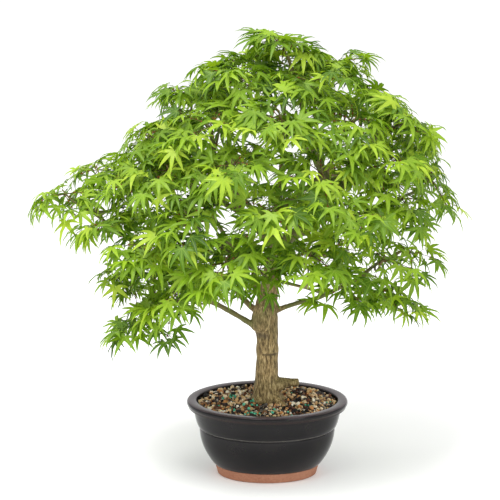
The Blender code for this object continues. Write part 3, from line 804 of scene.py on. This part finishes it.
def maple_leaf(lobes, seed):
    """One leaf, its stalk's end at the origin, its middle lobe one unit long along +Y, and how near
    each point is to a rib."""
    shift = random.Random(seed)
    built = bmesh.new()
    heart = built.verts.new((0, 0, 0))
    angles = [math.radians(angle) for angle, _ in lobes]
    notches = [(first + second) / 2 for first, second in zip(angles, angles[1:])]
    last_turn = math.radians(24)
    notches = [angles[0] - last_turn, *notches, angles[-1] + last_turn]
    depths = [0.12, *[0.25 + shift.uniform(-0.03, 0.03) for _ in notches[1:-1]], 0.12]
    sinus = []
    for angle, depth in zip(notches, depths):
        sinus.append(built.verts.new((math.sin(angle) * depth, math.cos(angle) * depth, 0.012)))
    ribs = {heart}
    for index, (angle, (_, length)) in enumerate(zip(angles, lobes)):
        way = Vector((math.sin(angle), math.cos(angle), 0))
        aside = Vector((way.y, -way.x, 0))
        bend = shift.uniform(-0.11, 0.11)
        droop = shift.uniform(0.02, 0.16)
        row = (sinus[index], built.verts.new(way * 0.28 - Vector((0, 0, 0.012))), sinus[index + 1])
        ribs.add(row[1])
        built.faces.new((heart, row[0], row[1]))
        built.faces.new((heart, row[1], row[2]))
        for along, half in LOBE_ROWS:
            middle = way * along * length + aside * bend * along**2
            middle.z -= droop * along**3
            width = half * (0.5 + 0.5 * length)
            edge = Vector((0, 0, 0.03))
            nearer = [built.verts.new(middle - aside * width + edge), built.verts.new(middle)]
            nearer.append(built.verts.new(middle + aside * width + edge))
            ribs.add(nearer[1])
            built.faces.new((row[0], nearer[0], nearer[1], row[1]))
            built.faces.new((row[1], nearer[1], nearer[2], row[2]))
            row = nearer
        tip = built.verts.new(way * length + aside * bend - Vector((0, 0, droop)))
        ribs.add(tip)
        built.faces.new((row[0], tip, row[1]))
        built.faces.new((row[1], tip, row[2]))
    for vertex in built.verts:
        out = vertex.co.xy.length
        vertex.co.z += -0.16 * out**2 - 0.12 * out**4 + shift.uniform(-0.01, 0.01)
    bmesh.ops.recalc_face_normals(built, faces=built.faces)
    if sum(face.normal.z for face in built.faces) < 0:
        bmesh.ops.reverse_faces(built, faces=built.faces)
    built.verts.index_update()
    points = np.array([vertex.co for vertex in built.verts])
    nearness = [1.0 if vertex in ribs else 0.0 for vertex in built.verts]
    faces = [tuple(vertex.index for vertex in face.verts) for face in built.faces]
    built.free()
    return points, faces, nearness


def stalk_shape(sides):
    """A stalk one unit long along +Z and one unit thick: its points, with how much each one
    shares in the stalk's bow, and its faces."""
    points = []
    for height, bow in ((0, 0), (0.5, 1), (1, 0)):
        for side in range(sides):
            turn = math.tau * side / sides
            points.append((math.cos(turn) / 2, math.sin(turn) / 2, height, bow))
    faces = []
    for ring in range(2):
        for side in range(sides):
            after = (side + 1) % sides
            low = ring * sides
            faces.append((low + side, low + after, low + sides + after, low + sides + side))
    faces.append(tuple(range(sides))[::-1])
    faces.append(tuple(range(2 * sides, 3 * sides)))
    return np.array(points), faces


leaf_shapes = [maple_leaf(lobes, seed) for seed, lobes in enumerate(leaf_kinds)]
stalk_points, stalk_faces = stalk_shape(STALK_SIDES)


def leaf_turn(way, facing, size):
    """Turns a leaf so that its middle lobe runs along way and its upper side looks to facing."""
    forward = way.normalized()
    aside = forward.cross(facing).normalized()
    top = aside.cross(forward)
    return Matrix((aside, forward, top)).transposed() * size


def stalk_between(start, end, thickness, lift):
    """The points of one stalk from start to end, bowed upwards by lift."""
    along = end - start
    aside = along.cross(Vector((0.3, 0.2, 1))).normalized()
    other = along.cross(aside).normalized()
    out = []
    for x, y, height, bow in stalk_points:
        point = start + along * height + aside * x * thickness + other * y * thickness
        point.z += lift * bow
        out.append(point)
    return out


spray_nodes = sorted(name for name in frame["nodes"] if name.startswith("leaf_spray"))
crown_low = min(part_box(name)[0].z for name in spray_nodes)
crown_high = max(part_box(name)[1].z for name in spray_nodes)

leaf_finish, leaf_tree, leaf_shader = new_material("maple_leaf_green")
# Greens from dark to light along the tint, which holds the leaves' own tone and also painted light
# and shade from where each leaf sits in the crown.
leaf_stops = [(0.0, (0.028, 0.076, 0.005)), (0.3, (0.093, 0.194, 0.009))]
leaf_stops += [(0.55, (0.190, 0.322, 0.014)), (0.8, (0.30, 0.45, 0.026))]
leaf_stops.append((1.0, (0.41, 0.54, 0.044)))
leaf_colour = ramp(leaf_tree, stored(leaf_tree, "tint"), leaf_stops)
leaf_mottle = noise_field(leaf_tree, object_place(leaf_tree), 160, 4)
leaf_veil = ramp(leaf_tree, leaf_mottle, [(0.3, (0.74, 0.82, 0.65)), (0.7, (1.1, 1.06, 1.0))])
leaf_colour = mixed(leaf_tree, 0.8, leaf_colour, leaf_veil, "MULTIPLY")
rib_line = fade_of(leaf_tree, stored(leaf_tree, "rib"), 0.80, 0.97, 0, 0.4)
leaf_colour = mixed(leaf_tree, rib_line, leaf_colour, (0.36, 0.50, 0.08))
stalk_kind = stored(leaf_tree, "stalk")
stalk_stops = [(0.4, (0.13, 0.20, 0.02)), (0.7, (0.11, 0.075, 0.022)), (1.0, (0.30, 0.075, 0.022))]
stalk_colour = ramp(leaf_tree, stalk_kind, stalk_stops)
is_stalk = calc(leaf_tree, stalk_kind, "GREATER_THAN", 0.2)
leaf_colour = mixed(leaf_tree, is_stalk, leaf_colour, stalk_colour)
leaf_tree.links.new(leaf_colour, leaf_shader.inputs["Base Color"])
leaf_shader.inputs["Roughness"].default_value = 0.5
leaf_shader.inputs["Specular IOR Level"].default_value = 0.35
bump(leaf_tree, leaf_shader, leaf_mottle, 0.3, 0.4 * MM)
leaf_glow = leaf_tree.nodes.new("ShaderNodeBsdfTranslucent")
glow_colour = mixed(leaf_tree, 1.0, leaf_colour, (1.15, 1.2, 0.55), "MULTIPLY")
leaf_tree.links.new(glow_colour, leaf_glow.inputs["Color"])
leaf_mix = leaf_tree.nodes.new("ShaderNodeMixShader")
leaf_mix.inputs["Fac"].default_value = 0.38
leaf_out = leaf_tree.nodes["Material Output"]
leaf_tree.links.new(leaf_shader.outputs["BSDF"], leaf_mix.inputs[1])
leaf_tree.links.new(leaf_glow.outputs["BSDF"], leaf_mix.inputs[2])
leaf_tree.links.new(leaf_mix.outputs["Shader"], leaf_out.inputs["Surface"])

cad_low, cad_high = (Vector(corner) for corner in cad_bounds)
room = (cad_high - cad_low) * BOX_ROOM_SHARE + Vector((1, 1, 1)) * BOX_ROOM
STALK_LOOKS = {"shoot": 0.7, "joint": 1.0, "leaf stalk": 0.4}  # brown, red and green


def leaf_spray(node):
    """The leaves, stalks and shoots of one spray, spread over the place that its node holds."""
    low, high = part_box(node)
    middle = (low + high) / 2
    radius = ((high.x - low.x) + (high.y - low.y)) / 4
    source = random.Random(node)
    outwards = Vector((middle.x, middle.y, 0))
    lean = min(1.0, outwards.length / 0.22) * 0.5
    facing = (Vector((0, 0, 1)) + outwards.normalized() * lean).normalized()
    leaves = []
    stalks = []
    spin = source.uniform(0, math.tau)
    side_a = facing.cross(Vector((0, 1, 0))).normalized()
    side_b = facing.cross(side_a)
    tilts = SHOOT_TILTS if radius > SMALL_SPRAY else SHOOT_TILTS[:SMALL_SPRAY_SHOOTS]
    pair_places = LEAF_PAIR_PLACES
    if middle.x > OPEN_SIDE_START and middle.z < OPEN_SIDE_TOP:
        tilts = SHOOT_TILTS[:OPEN_SIDE_SHOOTS]
        pair_places = LEAF_PAIR_PLACES[::2]
    for shoot, tilt in enumerate(tilts):
        turn = spin + math.tau * shoot * 3 / len(tilts) + source.uniform(-0.3, 0.3)
        way = side_a * math.cos(turn) + side_b * math.sin(turn)
        rise = math.radians(tilt + source.uniform(-10, 10))
        ahead = way * math.cos(rise) + facing * math.sin(rise)
        reach = radius * source.uniform(0.60, 0.98)
        before = middle
        for share in pair_places:
            spot = middle + ahead * reach * share - Vector((0, 0, 10 * MM * share**2))
            stalks.append((before, spot, 1.5 * MM - 0.6 * MM * share, 0, STALK_LOOKS["shoot"]))
            half_joint = ahead * 1.2 * MM
            stalks.append((spot - half_joint, spot + half_joint, 2.0 * MM, 0, STALK_LOOKS["joint"]))
            before = spot
            aside = facing.cross(way)
            ways = [way * 0.5 + aside * 0.8, way * 0.5 - aside * 0.8]
            if share == 1.0:
                ways.append(way)
            for going in ways:
                stray = Vector([source.uniform(-0.45, 0.45) for _ in range(3)])
                going = (going.normalized() + stray).normalized()
                stalk_end = spot + going * source.uniform(*LEAF_STALKS) * MM
                stalk_end += facing * source.uniform(-2, 8) * MM
                droop = source.uniform(*LEAF_DROOPS)
                blade_way = (going + Vector((0, 0, -1)) * droop).normalized()
                look = facing + going * droop * 0.6
                look += outwards.normalized() * source.uniform(-0.1, 0.7) * lean
                look += Vector([source.uniform(-0.5, 0.5) for _ in range(3)])
                size = source.uniform(*LEAF_LENGTHS) * MM
                kind = source.randrange(len(leaf_shapes))
                # The tint is partly painted light and shade: leaves higher up and further out are
                # painted lighter, those lower and further in darker. The random share and the fresh
                # young leaves are the leaves' own tone.
                height = (stalk_end.z - crown_low) / (crown_high - crown_low)
                outside = min(1, Vector((stalk_end.x / 0.24, stalk_end.y / 0.2, 0)).length)
                fresh = 0.25 if source.random() < 0.15 else 0
                tint = 0.25 + 0.24 * height + 0.22 * outside + source.gauss(0, 0.18) + fresh
                blade_turn = np.array(leaf_turn(blade_way, look, size))
                points = leaf_shapes[kind][0] @ blade_turn.T + np.array(stalk_end)
                too_low = (points.min(axis=0) < cad_low - room).any()
                if too_low or (points.max(axis=0) > cad_high + room).any():
                    continue
                stalks.append((spot, stalk_end, 0.8 * MM, 2 * MM, STALK_LOOKS["leaf stalk"]))
                leaves.append((kind, points, min(1, max(0, tint))))
    points = []
    faces = []
    looks = {"tint": [], "rib": [], "stalk": []}
    first = 0
    for start, end, thickness, lift, stalk in stalks:
        points.extend(tuple(point) for point in stalk_between(start, end, thickness, lift))
        faces.extend(tuple(corner + first for corner in face) for face in stalk_faces)
        looks["tint"].extend([0.5] * len(stalk_points))
        looks["rib"].extend([0.0] * len(stalk_points))
        looks["stalk"].extend([stalk] * len(stalk_points))
        first += len(stalk_points)
    for kind, leaf_points, tint in leaves:
        points.extend(leaf_points.tolist())
        faces.extend(tuple(corner + first for corner in face) for face in leaf_shapes[kind][1])
        looks["tint"].extend([tint] * len(leaf_points))
        looks["rib"].extend(leaf_shapes[kind][2])
        looks["stalk"].extend([0.0] * len(leaf_points))
        first += len(leaf_points)
    mesh = bpy.data.meshes.new(node)
    mesh.from_pydata(points, [], faces)
    mesh.update()
    for look_name, values in looks.items():
        mesh.attributes.new(look_name, "FLOAT", "POINT").data.foreach_set("value", values)
    mesh.shade_smooth()
    mesh.materials.append(leaf_finish)
    piece = bpy.data.objects.new(node.replace("leaf_spray", "leaves"), mesh)
    bpy.context.scene.collection.objects.link(piece)
    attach(piece, "root")
    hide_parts(node)


for name in spray_nodes:
    leaf_spray(name)
